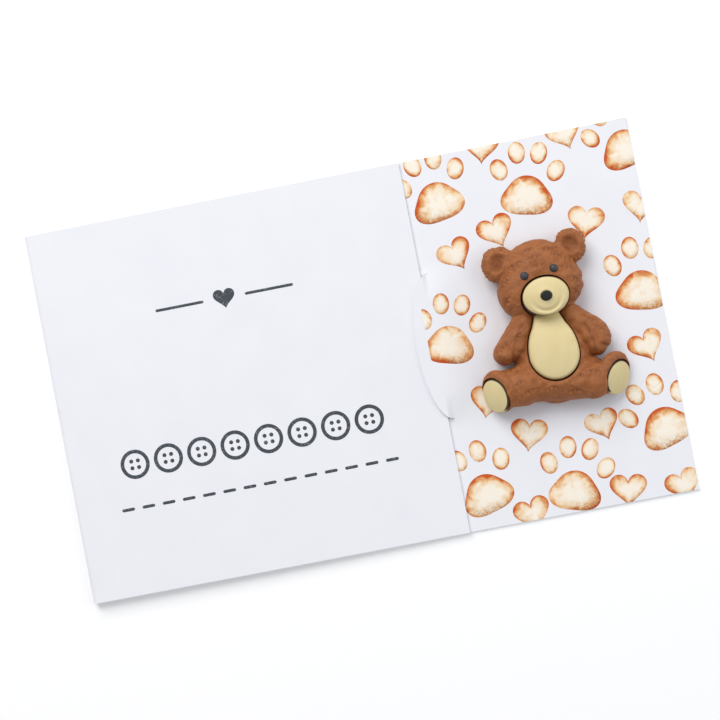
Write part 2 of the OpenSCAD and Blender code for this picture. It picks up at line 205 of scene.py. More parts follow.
# Scalloped tufts: place, size and turn in degrees, in the button's frame
TUFTS = (
    (-0.2, 9.6, 0.4, 4), (0.2, 8.3, 0.38, 2), (-3.2, 9.1, 0.38, 16), (3.7, 7.5, 0.38, -14),
    (1.7, 10.6, 0.36, -8), (3.0, 9.4, 0.34, -14), (-1.0, 10.9, 0.34, 8), (-5.1, 6.7, 0.36, 40),
    (-4.9, 4.4, 0.36, 54), (4.9, 5.4, 0.36, -44), (4.7, 3.5, 0.34, -56), (-6.8, -1.9, 0.34, 40),
    (-4.4, -0.8, 0.32, 30), (6.8, -1.9, 0.36, -34), (5.6, -0.1, 0.32, -36), (4.9, -7.9, 0.4, -14),
    (-5.8, -7.6, 0.36, 18), (-4.3, -9.0, 0.34, 14), (-1.4, -9.2, 0.34, 4), (1.8, -10.2, 0.34, -6),
)
# Creases: inner side of each arm, fingers of the right paw, top of the right thigh
CREASES = (
    ((-3.9, 0.4), (-5.0, -1.5), (-5.7, -3.2), (-5.85, -4.6)),
    ((5.0, -0.9), (5.55, -2.2), (5.7, -3.7), (5.75, -4.9), (6.05, -5.7)),
    ((7.8, -3.1), (8.8, -3.7)), ((6.9, -4.1), (8.0, -4.8)),
    ((6.0, -6.3), (5.0, -6.4), (4.1, -6.7), (3.4, -7.4), (2.9, -8.0)),
)


def linear(code):
    """Linear RGB of an sRGB hex colour, with full alpha."""
    s = np.array([int(code[i:i + 2], 16) for i in (1, 3, 5)]) / 255
    return (*np.where(s <= 0.04045, s / 12.92, ((s + 0.055) / 1.055) ** 2.4).tolist(), 1.0)


def length(name, text, mm):
    """A length property with its default given in millimetres."""
    return bpy.props.FloatProperty(
        name=name, description=text, default=mm * MM, min=0.0, precision=5,
        subtype="DISTANCE", unit="LENGTH"
    )


def colour(name, text, code):
    """A colour property with its default given as an sRGB hex value."""
    return bpy.props.FloatVectorProperty(
        name=name, description=text, default=linear(code), size=4, min=0.0, max=1.0, subtype="COLOR"
    )


class CardSizes(bpy.types.PropertyGroup):
    """Sizes of the folded sheet and of its tuck tab."""

    length: length("Length", "From the fold to the far edge", (CAD_BOX[1].x - CAD_BOX[0].x) / MM)
    width: length("Width", "Along the fold", (CAD_BOX[1].y - CAD_BOX[0].y) / MM)
    thickness: length("Thickness", "Thickness of the card stock", 0.35)
    flap: length("Flap", "From the fold to the flap's free edge", 56.3)
    fold: length("Fold radius", "Inner radius of the fold", 0.4)
    gap: length("Layer gap", "Air between two layers of card", 0.08)
    tab_width: length("Tab width", "Width of the half-oval tab at its root", 21.6)
    tab_depth: length("Tab depth", "From the tab's root to its tip", 3.6)
    tab_setback: length("Tab setback", "From the flap's edge to the tab's root", 1.0)
    slit: length("Slit", "Width of the cut round the tab", 0.06)
    ramp: length("Ramp", "Length over which the tucked flap pushes tab and panel up", 6.0)
    bow: length("Flap bow", "How far the flap swells between fold and tab", 0.22)


class BearSizes(bpy.types.PropertyGroup):
    """Sizes of the button's moulded relief."""

    voxel: length("Blend voxel", "Cell size in which the body's forms are blended", 0.109)
    lump: length("Lumps", "Depth of the broad unevenness", 0.06)
    stroke: length("Fur strokes", "Depth of the fur strokes", 0.06)
    tuft: length("Tufts", "Depth of the scalloped fur tufts", 0.1)
    crease: length("Creases", "Depth of the creases at arms and paws", 0.11)
    dish: length("Ear dishes", "Depth of the hollows in the ears", 0.95)
    groove: length("Inlay groove", "Open groove round the inlays", 0.24)
    lip: length("Groove lip", "How far the fur dips to the groove", 0.1)
    rim: length("Inlay rim", "Rounding of the inlays' rims", 0.5)


class Finishes(bpy.types.PropertyGroup):
    """Colours of the stock, the mouldings and the inks, and of painted shade."""

    paper: colour("Paper", "Card stock", "#f2f3f8")
    paper_dim: colour("Paper, dim", "Darker clouds in the card stock", "#ebecf3")
    fur: colour("Fur", "Brown moulding", "#975a30")
    fur_light: colour("Fur, light", "Lighter clouds of the brown moulding", "#a6683b")
    # Dark fur: colour of the darker strands and of the painted shade in the hollows
    fur_grain_and_shade: colour("Fur, dark", "Hollows of the brown moulding", "#743d1b")
    cream: colour("Cream", "Inlays", "#e0cf9d")
    cream_warm: colour("Cream, warm", "Warmer clouds in the inlays", "#d7c38b")
    dark: colour("Dark", "Nose", "#171816")
    dark_worn: colour("Dark, worn", "Paler clouds of the nose", "#222320")
    grey: colour("Grey", "Eyes", "#303136")
    grey_worn: colour("Grey, worn", "Paler clouds of the eyes", "#3b3c41")
    # Colour of the painted shade where the groove round an inlay shadows its rim
    rim_shade: colour("Flash", "Brown flash on the inlays' rims", "#331b0e")
    ink_rim: colour("Ink, rim", "Where the wash has pooled", "#c9571c")
    ink_wash: colour("Ink, wash", "Middle of a wash", "#f1c483")
    ink_pale: colour("Ink, pale", "Thinnest wash", "#fbf2e3")
    ink_deep: colour("Ink, deep", "Darkest pools", "#74301e")
    slate: colour("Slate ink", "Marks on the flap", "#3e444c")
    glue: colour("Glue", "Adhesive dots", "#e8ecec")
    floor: colour("Floor", "Floor and backdrop", "#f7f7f8")


def in_mm(group):
    """The lengths of a property group in millimetres."""
    return {key: getattr(group, key) / MM for key in type(group).__annotations__}


def card_mm():
    """The card's sizes in millimetres, with those that follow from them."""
    c = in_mm(bpy.context.scene.card_sizes)
    c["outer"] = c["fold"] + c["thickness"]
    c["fold_x"] = c["outer"] - c["length"] / 2
    c["run"] = c["flap"] - c["outer"]
    c["slope"] = math.asin((2 * c["fold"] - c["gap"]) / c["run"])
    c["root"] = c["flap"] - c["length"] / 2 + c["tab_setback"]
    c["rise"] = 2 * (c["thickness"] + c["gap"])
    return c


# Mesh helpers: every shell is points with quads and triangles

NO_TRIANGLES = np.zeros((0, 3), int)


def wrap_faces(rows, cols):
    """Quads of a grid that closes round its columns."""
    i = np.arange(rows - 1)[:, None] * cols
    j = np.arange(cols)
    k = (j + 1) % cols
    return np.stack([i + j, i + k, i + cols + k, i + cols + j], -1).reshape(-1, 4)


def poled(grid):
    """Shell from a grid whose first and last row each shrink to one point."""
    rows, cols = grid.shape[:2]
    points = np.concatenate([grid[0, :1], grid[1:-1].reshape(-1, 3), grid[-1, :1]])
    j = np.arange(cols)
    k = (j + 1) % cols
    last = len(points) - 1
    low = np.stack([np.zeros(cols, int), 1 + k, 1 + j], -1)
    top = np.stack([np.full(cols, last), last - cols + j, last - cols + k], -1)
    return points, wrap_faces(rows - 2, cols) + 1, np.concatenate([low, top])


def lidded(grid):
    """Shell from a grid of loops, its first and last closed by strips between their halves."""
    rows, cols = grid.shape[:2]
    i = np.arange(cols // 2 - 1)
    lid = np.stack([i, cols - 1 - i, cols - 2 - i, i + 1], -1)
    quads = np.concatenate([wrap_faces(rows, cols), lid, lid[:, ::-1] + (rows - 1) * cols])
    return grid.reshape(-1, 3), quads, NO_TRIANGLES


def moved(shell, change, *values):
    """Shell with its points changed by a function."""
    return change(shell[0], *values), shell[1], shell[2]


def mesh_from(*shells):
    """One mesh from closed shells, each with its faces turned so that its volume is positive."""
    faces, start = [], 0
    for points, quads, tris in shells:
        corners = np.concatenate([tris, quads[:, :3], quads[:, [0, 2, 3]]])
        a, b, c = points[corners].transpose(1, 0, 2)
        side = 1 if (a * np.cross(b, c)).sum() > 0 else -1
        faces += (quads[:, ::side] + start).tolist() + (tris[:, ::side] + start).tolist()
        start += len(points)
    mesh = bpy.data.meshes.new("shape")
    mesh.from_pydata(np.concatenate([shell[0] for shell in shells]), [], faces)
    mesh.validate()
    return mesh


def read(collection, field, width, kind=float):
    """One field of a mesh's collection as an array."""
    values = np.empty(len(collection) * width, kind)
    collection.foreach_get(field, values)
    return values.reshape(-1, width) if width > 1 else values


def attribute(mesh, name, values):
    """Stores one number, or one vector, per point of a mesh."""
    kind, field = ("FLOAT", "value") if values.ndim == 1 else ("FLOAT_VECTOR", "vector")
    made = mesh.attributes.new(name, kind, "POINT")
    made.data.foreach_set(field, values.astype(np.float32).ravel())


def linked(name, data):
    """New object in the scene for a mesh, a lamp or a camera."""
    made = bpy.data.objects.new(name, data)
    bpy.context.scene.collection.objects.link(made)
    return made


def shown(name, mesh, finish, place, sharp_degrees):
    """Object from a mesh in millimetres, moved to its place in metres, sharp only over an angle."""
    co = read(mesh.vertices, "co", 3)
    mesh.vertices.foreach_set("co", ((co + place) * MM).ravel())
    mesh.shade_smooth()
    # Each edge of a closed mesh lies between two faces, whose normals give its angle
    owner = np.repeat(np.arange(len(mesh.polygons)), read(mesh.polygons, "loop_total", 1, int))
    order = np.argsort(read(mesh.loops, "edge_index", 1, int), kind="stable")
    a, b = read(mesh.polygons, "normal", 3)[owner[order].reshape(-1, 2).T]
    sharp = (a * b).sum(-1) < math.cos(math.radians(sharp_degrees))
    mesh.edges.foreach_set("use_edge_sharp", sharp)
    mesh.update()
    mesh.name = name
    mesh.materials.clear()
    mesh.materials.append(finish)
    return linked(name, mesh)


def piece(name, mesh, finish, place, sharp_degrees, slot, *nodes):
    """Object that rides on the one body, takes its finish as material and stands for its solids;
    its slot is not used.
    """
    made = shown(name, mesh, finish, place, sharp_degrees)
    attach(made, "root")
    if nodes:
        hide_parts(*nodes)


def modified(mesh, kind, helper=None, **settings):
    """Mesh after one modifier, which may take a helper mesh as its object."""
    work = [linked("work", each) for each in (mesh, helper) if each is not None]
    tool = work[0].modifiers.new("tool", kind)
    if helper is not None:
        tool.object = work[1]
    for key, value in settings.items():
        setattr(tool, key, value)
    graph = bpy.context.evaluated_depsgraph_get()
    result = bpy.data.meshes.new_from_object(work[0].evaluated_get(graph), depsgraph=graph)
    for each in work:
        bpy.data.objects.remove(each)
    if not len(result.polygons):
        raise RuntimeError("a modifier left an empty mesh")
    return result


def combined(mesh, operation, other):
    """Mesh joined with, or cut by, another."""
    return modified(mesh, "BOOLEAN", other, operation=operation, solver="MANIFOLD")


# Shape functions

def eased(u):
    """Smooth step from 0 to 1."""
    u = np.clip(u, 0, 1)
    return u * u * (3 - 2 * u)


def ridge(far, middle, width, height):
    """Bell curve over a distance: its height at the middle line, fading over a width."""
    return height * np.exp(-((far - middle) / width) ** 2)


def climb(u):
    """Soft switch from 0 to 1, half at 0."""
    return 1 / (1 + np.exp(-u))


def full_turn(count):
    """Even angles round a full turn."""
    return np.arange(count) / count * 2 * np.pi


def stretches(stops, counts):
    """Line through several stops, with its own count of even points in each stretch."""
    parts = [np.linspace(a, b, n)[:-1] for a, b, n in zip(stops[:-1], stops[1:], counts)]
    return np.concatenate([*parts, stops[-1:]])


def directions(rows, cols):
    """Unit directions on a grid of latitude by longitude."""
    lat = np.linspace(-0.5, 0.5, rows)[:, None] * np.pi
    lon = full_turn(cols)
    flat = np.cos(lat)
    return np.stack([flat * np.cos(lon), flat * np.sin(lon), np.sin(lat) + 0 * lon], -1)


def hull_form(balls, rows=80, cols=160):
    """Common skin of several ellipsoids.

    For each direction the ellipsoid that reaches furthest gives the point: its centre plus its
    squared radii times the direction, over the length of radii times direction.
    """
    n = directions(rows, cols)
    c, r = np.split(np.array(balls, float)[:, None, None], 2, -1)
    reach = np.linalg.norm(r * n, axis=-1)
    best = ((c * n).sum(-1) + reach).argmax(0)
    return np.take_along_axis(c + r * r * n / reach[..., None], best[None, ..., None], 0)[0]


def disc_form(ring, edge, rows=48, cols=120):
    """Round disc with a rounded edge: ring radius along the level direction plus edge all round."""
    n = directions(rows, cols)
    level = np.concatenate([n[..., :2], np.zeros_like(n[..., :1])], -1)
    level[1:-1] /= np.linalg.norm(level[1:-1], axis=-1, keepdims=True)
    level[[0, -1]] = 0
    return ring * level + edge * n


def turned(points, angle):
    """Points, flat or not, turned about Z."""
    c, s = math.cos(angle), math.sin(angle)
    size = points.shape[-1]
    return points @ np.array([[c, s, 0], [-s, c, 0], [0, 0, 1]])[:size, :size]


def on_head(x, y, z=0):
    """From the head's frame to the button's, for one place."""
    return turned(np.array([x, y, z]), HEAD_TILT) + (0, HEAD_RISE, 0)


MUZZLE = on_head(0, -MUZZLE_DROP)


def on_muzzle(x, y):
    """From the button's frame to the muzzle's own upright one."""
    flat = turned(np.stack([x - MUZZLE[0], y - MUZZLE[1]], -1), -HEAD_TILT)
    return flat[..., 0], flat[..., 1]


def on_sole(points, foot):
    """From a sole's frame, with +Z out of the sole, to the button's: leaned to +X, then turned."""
    x, y, turn, lean = foot
    c, s = math.cos(lean), math.sin(lean)
    leaned = points @ np.array([[c, 0, -s], [0, 1, 0], [s, 0, c]])
    return turned(leaned, turn) + (x, y, FOOT_RADIUS * s + SOLE_CLEAR)


def pad_place(points, foot):
    """From a foot pad's frame to the button's: low and outward on its sole."""
    out, down = (PAD_REACH, PAD_DROP) if foot is LEFT_FOOT else (RIGHT_PAD_REACH, -PAD_DROP)
    return on_sole(points + (out, down, 0), foot)


def circle(radius, count=96):
    """Closed round outline about the origin."""
    a = full_turn(count)
    return np.stack([radius * np.cos(a), radius * np.sin(a)], -1)


def belly_half(y):
    """Half the belly's width at a height: two half ovals, and a straight taper to the neck."""
    v = y - BELLY_Y
    low = np.sqrt(np.clip(1 - (v / BELLY_LOW) ** 2, 0, 1))
    high = np.sqrt(np.clip(1 - (v / BELLY_HIGH) ** 2, 0, 1))
    oval = BELLY_HALF * np.where(v < 0, low, high)
    share = (y - TAPER_FOOT[1]) / (TAPER_NECK[1] - TAPER_FOOT[1])
    taper = TAPER_FOOT[0] + (TAPER_NECK[0] - TAPER_FOOT[0]) * share
    return np.where((share > 0) & (share <= 1), np.maximum(oval, taper), oval)


def belly_ring(grow, count=110):
    """Closed outline of the belly, spread by grow along its own outward direction.

    It goes up the right side, heights eased at both ends, and is mirrored back down.
    """
    bottom = BELLY_Y - BELLY_LOW
    y = bottom + (TAPER_NECK[1] - bottom) * (1 - np.cos(np.linspace(0, np.pi, count))) / 2
    right = np.stack([belly_half(y), y], -1)
    ring = np.concatenate([right, right[-1:0:-1] * (-1, 1)])
    step = np.roll(ring, -1, 0) - np.roll(ring, 1, 0)
    out = np.stack([step[:, 1], -step[:, 0]], -1)
    return ring + grow * out / np.linalg.norm(out, axis=1, keepdims=True)


def muzzle_ring(grow):
    """Closed outline of the muzzle, an oval spread by grow and tilted with the head."""
    half = np.array(MUZZLE_HALF) + grow
    return turned(circle(1, 160) * half, HEAD_TILT) + MUZZLE[:2]


def prism(ring, low, high):
    """Straight shell between two heights over a closed outline."""
    middle = ring.mean(0) + 0 * ring
    levels = ((middle, low), (ring, low), (ring, high), (middle, high))
    return poled(np.stack([np.concatenate([r, np.full((len(r), 1), z)], 1) for r, z in levels]))


def inlay(ring, middle, top, rim, floor, shares):
    """Crowned inlay over a closed outline.

    The outline shrinks to its middle for the crown, whose height the top function gives; the crown
    falls by a quarter round near the rim, and straight walls go down to a flat floor.
    """
    share = 1 - np.linspace(1, 0, shares) ** 2
    flat = middle + share[:, None, None] * (ring - middle)
    inward = (1 - share)[:, None] * np.linalg.norm(ring - middle, axis=1)
    short = np.clip(rim - inward, 0, rim)
    z = top(flat[..., 0], flat[..., 1]) - (rim - np.sqrt(rim ** 2 - short ** 2))
    upper = np.concatenate([flat, z[..., None]], -1)
    foot = np.concatenate([ring, np.full((len(ring), 1), floor)], 1)
    base = foot.copy()
    base[:, :2] = middle
    return poled(np.concatenate([base[None], foot[None], upper[::-1]]))


def crown(x, y, centre, top, dome):
    """Height of a sphere of radius dome whose summit is at top over a centre."""
    square = (x - centre[0]) ** 2 + (y - centre[1]) ** 2
    return top - dome + np.sqrt(dome ** 2 - square)


def ripples(wave, u, v, count=28):
    """Seeded sum of sine waves, about -1 to 1, long along u and short across v."""
    seed, along, across = wave
    rng = np.random.default_rng(seed)
    turn = rng.normal(0, 0.5, count) / along
    pitch = rng.normal(1, 0.3, count) * rng.choice([-1, 1], count) / across
    phase = rng.uniform(0, 2 * np.pi, count)
    total = sum(np.sin(2 * np.pi * (a * u + b * v) + c) for a, b, c in zip(turn, pitch, phase))
    return total / math.sqrt(count)


def muzzle_top(x, y):
    """Muzzle crown with a raised seat for the nose, a broad smile valley and a lip below it.

    All three are ridges round the middle; smile and lip fade with the angle from below.
    """
    u, v = on_muzzle(x, y)
    r = np.hypot(u, v)
    fade = np.exp(-(np.arctan2(u, -v) / SMILE_SPREAD) ** 4)
    smile = ridge(r, *LIP) + ridge(r, *SMILE)
    return crown(x, y, MUZZLE, MUZZLE_TOP, MUZZLE_DOME) + fade * smile + ridge(r, *SEAT)


def nose_top(x, y):
    """Nose crown with small pebbles: the product of two sets of waves that cross."""
    pebbles = ripples(PEBBLES, x, y) * ripples(CROSS_PEBBLES, y, x)
    return crown(x, y, (0, 0), NOSE_SEAT + NOSE_STAND, NOSE_DOME) + PEBBLE_HEIGHT * pebbles


def to_line(x, y, line):
    """Distance from points to an open line of straight steps."""
    best = np.full(x.shape, np.inf)
    for (ax, ay), (bx, by) in zip(line[:-1], line[1:]):
        dx, dy = bx - ax, by - ay
        s = np.clip(((x - ax) * dx + (y - ay) * dy) / (dx * dx + dy * dy), 0, 1)
        best = np.minimum(best, np.hypot(x - ax - s * dx, y - ay - s * dy))
    return best


def to_oval(x, y, half):
    """Distance outside an oval on the line to its middle, less than zero inside."""
    ratio = np.maximum(np.hypot(x / half[0], y / half[1]), 0.05)
    return np.hypot(x, y) * (1 - 1 / ratio)


def inlay_distance(x, y):
    """Distance outside the muzzle's and the belly's outline, less than zero inside."""
    muzzle = to_oval(*on_muzzle(x, y), MUZZLE_HALF)
    low = to_oval(x, y - BELLY_Y, (BELLY_HALF, BELLY_LOW))
    over = y - TAPER_NECK[1]
    side = np.abs(x) - belly_half(np.minimum(y, TAPER_NECK[1]))
    high = np.where(over > 0, np.hypot(np.maximum(side, 0), over), side)
    return np.minimum(muzzle, np.where(y < BELLY_Y, low, high))


def fur_flow(points):
    """Fur's own coordinates, across and along: out from the face, and down below the neck."""
    x, y = points[:, 0], points[:, 1]
    dx, dy = x - MUZZLE[0], y - MUZZLE[1]
    head = climb((y - NECK_Y) / NECK_BLEND)
    face = np.arctan2(dx, dy) * FACE_RADIUS
    bend = FLOW_BEND * ripples(BENDS, x, y)
    across = head * face + (1 - head) * (x + FLOW_LEAN * y * np.sign(x)) + bend
    return across, head * np.hypot(dx, dy) + (1 - head) * y


def fur_relief(points, normals, size):
    """Outward shift of the body's points, and how much painted shade each gets in its hollows.

    Broad ripples, thin grooves where ripples along the fur cross zero, three low mounds under
    scallop arcs at each tuft, scallops round the ears, creases, and a dip towards the inlays.
    """
    x, y, z = points.T
    across, along = fur_flow(points)
    patch = np.clip(PATCH_LEVEL + PATCH_GAIN * ripples(PATCHES, x, y), 0, 1)
    groove = patch * ridge(ripples(STROKES, along, across), *STROKE_DIP)
    shift = size["lump"] * ripples(LUMPS, x + z, y) - size["stroke"] * groove
    # Painted shade in the fur's grooves, the tufts' arcs and the creases
    painted_shade = STROKE_SHADE * groove
    facing = np.clip(normals[:, 2] / TUFT_FACING, 0, 1)
    for tx, ty, tuft, turn in TUFTS:
        u, v = turned(np.stack([x - tx, y - ty], -1), -math.radians(turn)).T / tuft
        for k in (-1, 0, 1):
            w = v + MOUND_SAG * abs(k)
            d = np.hypot(u - MOUND_STEP * k, w)
            arc = ridge(d, *ARC) * climb((w - ARC_START) / ARC_FADE)
            shift += size["tuft"] * facing * (ridge(d, *MOUND) - arc)
            painted_shade += TUFT_SHADE * arc
    for ear in EARS:
        ex, ey, _ = on_head(*ear)
        wave = ripples(SCALLOPS, z, np.arctan2(y - ey, x - ex) * EAR_TURN + ex)
        shift += ridge(np.hypot(x - ex, y - ey), *EAR_EDGE) * wave
    for line in CREASES:
        far = to_line(x, y, line)
        shift -= size["crease"] * (ridge(far, *CREASE) + ridge(far, *SOFT_CREASE))
        painted_shade += ridge(far, *CREASE_SHADE)
    near = ridge(np.maximum(inlay_distance(x, y) - size["groove"], 0), *INLAY_DIP)
    shift = shift * (1 - INLAY_CALM * near) - size["lip"] * near
    front = np.clip((normals[:, 2] - SIDE_START) / SIDE_FADE, 0, 1) * np.clip(z / BACK_FADE, 0, 1)
    return shift * front, painted_shade * front


def rim_shade(inside, facing, strength, reach, fade):
    """Painted shade of the groove near a rim: strength times smooth steps of the way inside and of
    a side.
    """
    return strength * eased((reach - inside) / fade) * eased(facing)


def relaxed(points, edges, rounds, free):
    """Points drawn halfway to the mean of their neighbours in rounds, each by its freedom."""
    here, there = np.concatenate([edges, edges[:, ::-1]]).T
    count = np.bincount(here, minlength=len(points))[:, None]
    for _ in range(rounds):
        total = np.stack([np.bincount(here, points[there, k], len(points)) for k in range(3)], -1)
        points = points + 0.5 * free[:, None] * (total / count - points)
    return points


def bear_forms():
    """Closed forms of the brown body, each a hull of ellipsoids, flat where they meet the back."""
    small = EAR_ROOT_SCALE * EAR_RADII
    ears = [((*tip, *EAR_RADII), (*root, *small)) for tip, root in zip(EARS, EAR_ROOTS)]
    forms = [turned(hull_form(balls), HEAD_TILT) + (0, HEAD_RISE, 0) for balls in (HEAD, *ears)]
    forms += [hull_form(balls) for balls in (TORSO, HIPS, LEFT_ARM, RIGHT_ARM)]
    for foot, thigh, thick, thin in LEGS:
        forms.append(hull_form([(*thigh, *[thick] * 3), (*on_sole(ANKLE, foot), *[thin] * 3)]))
        sole = disc_form(FOOT_RADIUS - FOOT_EDGE, FOOT_EDGE) - (0, 0, FOOT_EDGE)
        forms.append(on_sole(sole, foot))
    for form in forms:
        form[..., 2] = np.maximum(form[..., 2], 0)
    return [poled(form) for form in forms]


def ear_dish(points):
    """Share of the fall in the ears' hollows: a smooth bowl in each, ended at the head."""
    x, y, z = points.T
    fall = np.zeros(len(points))
    for ex, ey, _ in EARS:
        at = on_head(ex - DISH_INSET * np.sign(ex), ey + DISH_RISE)
        d = np.hypot((x - at[0]) / DISH_HALF[0], (y - at[1]) / DISH_HALF[1])
        fall += np.clip(1 - d * d, 0, 1) ** DISH_POWER
    head = np.hypot(x / HEAD_HALF[0], (y - HEAD_RISE) / HEAD_HALF[1])
    return fall * np.clip((head - HEAD_EDGE) / HEAD_EDGE_WIDTH, 0, 1) * (z > DISH_LOW)


# Card surfaces

def flap_bow(c, run, y):
    """Swell of the flap: half a sine from fold to free edge, less at the sides."""
    swell = c["bow"] * np.sin(np.pi * np.clip(run / c["run"], 0, 1))
    return swell * (1 - BOW_FADE * (2 * y / c["width"]) ** 2)


def flap_top(x, y):
    """Height of the flap's upper face over a place on the card."""
    c = card_mm()
    s, k = math.sin(c["slope"]), math.cos(c["slope"])
    run = (x - c["fold_x"] - c["outer"] * s) / k
    return c["outer"] + c["outer"] * k - run * s + flap_bow(c, run, y)


def panel_top(x, y):
    """Height of the printed face: the back panel with the tab, pushed up by the tucked flap.

    Past the tab's root the lift fades over the ramp and towards the slit's ends. From the root the
    tab climbs on to the flap in a smooth step and follows its slope; outside the slit the panel
    sinks back under it.
    """
    c = card_mm()
    over = c["root"] - c["tab_setback"]
    middle = eased((c["tab_width"] / 2 + 0.3 * c["ramp"] - np.abs(y)) / c["ramp"])
    spread = middle * eased(1 - (np.maximum(x, c["root"]) - over) / c["ramp"])
    step = eased((c["root"] - x) / c["tab_setback"])
    reach = np.maximum(c["root"] - x, 0) / (c["tab_depth"] - c["slit"] / 2)
    tab = reach ** 2 + (y / (c["tab_width"] / 2 - c["slit"] / 2)) ** 2 < 1
    share = np.where(tab, spread + (1 - spread) * step, spread * (1 - step))
    slope = np.where(tab, np.maximum(over - x, 0), 0) * math.sin(c["slope"])
    return c["thickness"] + c["rise"] * share + slope


def card_shell():
    """Folded sheet: a section of outer and inner line round the fold, carried across the card."""
    c = card_mm()
    s, k = math.sin(c["slope"]), math.cos(c["slope"])
    stops = (c["length"] / 2, c["root"] + c["ramp"], c["root"] - c["tab_depth"] - 1, c["fold_x"])
    far = stretches(stops, PANEL_STEPS)[:-1]
    bend = np.linspace(1.5 * np.pi, 0.5 * np.pi - c["slope"], FOLD_STEPS)
    run = np.linspace(0, c["run"], FLAP_STEPS)[1:]
    upper = stretches((c["width"] / 2, 0.6 * c["tab_width"], 0.3 * c["tab_width"], 0), ACROSS_STEPS)
    across = np.concatenate([upper, -upper[-2::-1]])

    def side(radius):
        """One face of the sheet, at a distance from the fold's centre."""
        flat = np.stack([far, 0 * far + c["outer"] - radius], -1)
        ring = (c["fold_x"], c["outer"]) + radius * np.stack([np.cos(bend), np.sin(bend)], -1)
        flap = np.stack([c["fold_x"] + run * k + radius * s, c["outer"] + radius * k - run * s], -1)
        line = np.concatenate([flat, ring, flap])
        runs = np.concatenate([0 * far, 0 * bend, run])
        y = np.broadcast_to(across[:, None], (len(across), len(line)))
        z = line[:, 1] + np.where(runs > 0, flap_bow(c, runs, y), 0)
        return np.stack([np.broadcast_to(line[:, 0], y.shape), y, z], -1)

    return lidded(np.concatenate([side(c["outer"]), side(c["fold"])[:, ::-1]], 1))


def slit_cutter():
    """Half-oval ribbon that cuts the tab free: a straight wall between two half ovals."""
    c = card_mm()
    a = np.radians(np.linspace(-90, 90, SLIT_STEPS))
    top = c["thickness"] + c["gap"] / 2
    loops = []
    for inner, z in ((0, SLIT_LOW), (0, top), (c["slit"], top), (c["slit"], SLIT_LOW)):
        x = c["root"] - (c["tab_depth"] - inner) * np.cos(a)
        y = (c["tab_width"] / 2 - inner) * np.sin(a)
        loops.append(np.stack([x, y, np.full_like(a, z)], -1))
    return lidded(np.stack(loops, 1))


# Ink shapes: closed outlines about the origin, in millimetres

def heart(size, count=72):
    """Heart outline: three lobes of sine and cosine terms, scaled to a width."""
    t = full_turn(count)
    x = 16 * np.sin(t) ** 3
    y = 13 * np.cos(t) - 5 * np.cos(2 * t) - 2 * np.cos(3 * t) - np.cos(4 * t)
    return np.stack([-x, y + 2], -1) * size / 32


def blob(width, height, dent, lobes, turn, count=64):
    """Soft pebble outline: an oval whose radius swells and dips a few times, turned by degrees."""
    t = full_turn(count)
    r = 1 + dent * np.cos(lobes * t)
    flat = np.stack([width / 2 * r * np.cos(t), height / 2 * r * np.sin(t)], -1)
    return turned(flat, math.radians(turn))


def stadium(long, wide, count=32):
    """Dash outline with round ends."""
    t = full_turn(count)
    x = wide / 2 * np.cos(t) + (long - wide) / 2 * np.sign(np.cos(t))
    return np.stack([x, wide / 2 * np.sin(t)], -1)


def ink_film(ring, inner, surface, limits, rows):
    """Thin closed film of ink from an inner ring to an outline, on a surface and within limits.

    Returns the shell and, per point, its share of the way to the rim.
    """
    share = np.concatenate([np.linspace(0, 1, rows), np.linspace(1, 0, rows)])
    flat = np.clip(inner + share[:, None, None] * (ring - inner), *limits)
    lift = np.where(np.arange(2 * rows) < rows, INK * (1.3 - share ** 6), -INK)
    z = surface(flat[..., 0], flat[..., 1]) + lift[:, None]
    grid = np.concatenate([flat, z[..., None]], -1)[::-1]
    rim = np.broadcast_to(share[:, None], grid.shape[:2])
    return poled(grid), np.concatenate([rim[:1, 0], rim[1:-1].ravel(), rim[-1:, 0]])


def ink_ring(outer, inner, surface):
    """Thin closed band of ink between two outlines, laid on a surface."""
    share = np.array([0, 0.5, 1, 1, 0.5, 0])
    flat = inner + share[:, None, None] * (outer - inner)
    lift = np.array([INK] * 3 + [-INK] * 3)
    z = surface(flat[..., 0], flat[..., 1]) + lift[:, None]
    grid = np.concatenate([flat, z[..., None]], -1)
    loops, cols = grid.shape[:2]
    return grid.reshape(-1, 3), wrap_faces(loops + 1, cols) % (loops * cols), NO_TRIANGLES


# Materials

# Sockets of a Mix node for colours: share, first and second colour
SHARE, FIRST, SECOND = 0, 6, 7


def add(tree, kind, sockets=None, **settings):
    """Adds one node; a socket takes a value, an output, or a node for its first open output."""
    made = tree.nodes.new("ShaderNode" + kind)
    for key, value in settings.items():
        setattr(made, key, value)
    for key, value in (sockets or {}).items():
        if isinstance(value, bpy.types.Node):
            value = next(output for output in value.outputs if output.enabled)
        if isinstance(value, bpy.types.NodeSocket):
            tree.links.new(value, made.inputs[key])
        else:
            made.inputs[key].default_value = value
    return made


def material(name, paint, *values):
    """Material of one shader, whose sockets a paint function fills, from Object coordinates."""
    made = bpy.data.materials.new(name)
    made.use_nodes = True
    made.node_tree.nodes.clear()
    node = partial(add, made.node_tree)
    place = node("TexCoord").outputs["Object"]
    shader = node("BsdfPrincipled", paint(node, place, bpy.context.scene.finishes, *values))
    node("OutputMaterial", {"Surface": shader})
    return made


def card_stock(node, place, look):
    """Uncoated white card stock, calendered: soft even white, faint clouds, a trace of fibre."""
    # Clouds of uneven pulp, about 6 mm wide
    cloud = node("TexNoise", {"Vector": place, "Scale": 1 / (6 * MM), "Detail": 3.0})
    # Fibres are 0.03 mm wide in truth; drawn at about 0.25 mm so that they show
    fibre = node("TexNoise", {"Vector": place, "Scale": 1 / (0.25 * MM), "Detail": 2.0})
    tint = node("Mix", {SHARE: cloud, FIRST: look.paper, SECOND: look.paper_dim}, data_type="RGBA")
    bump = node("Bump", {"Height": fibre, "Strength": 0.18, "Distance": 0.02 * MM})
    rough = node("MapRange", {"Value": fibre, "To Min": 0.72, "To Max": 0.86})
    return {"Base Color": tint, "Roughness": rough, "Normal": bump,
            "IOR": 1.5, "Specular IOR Level": 0.3}


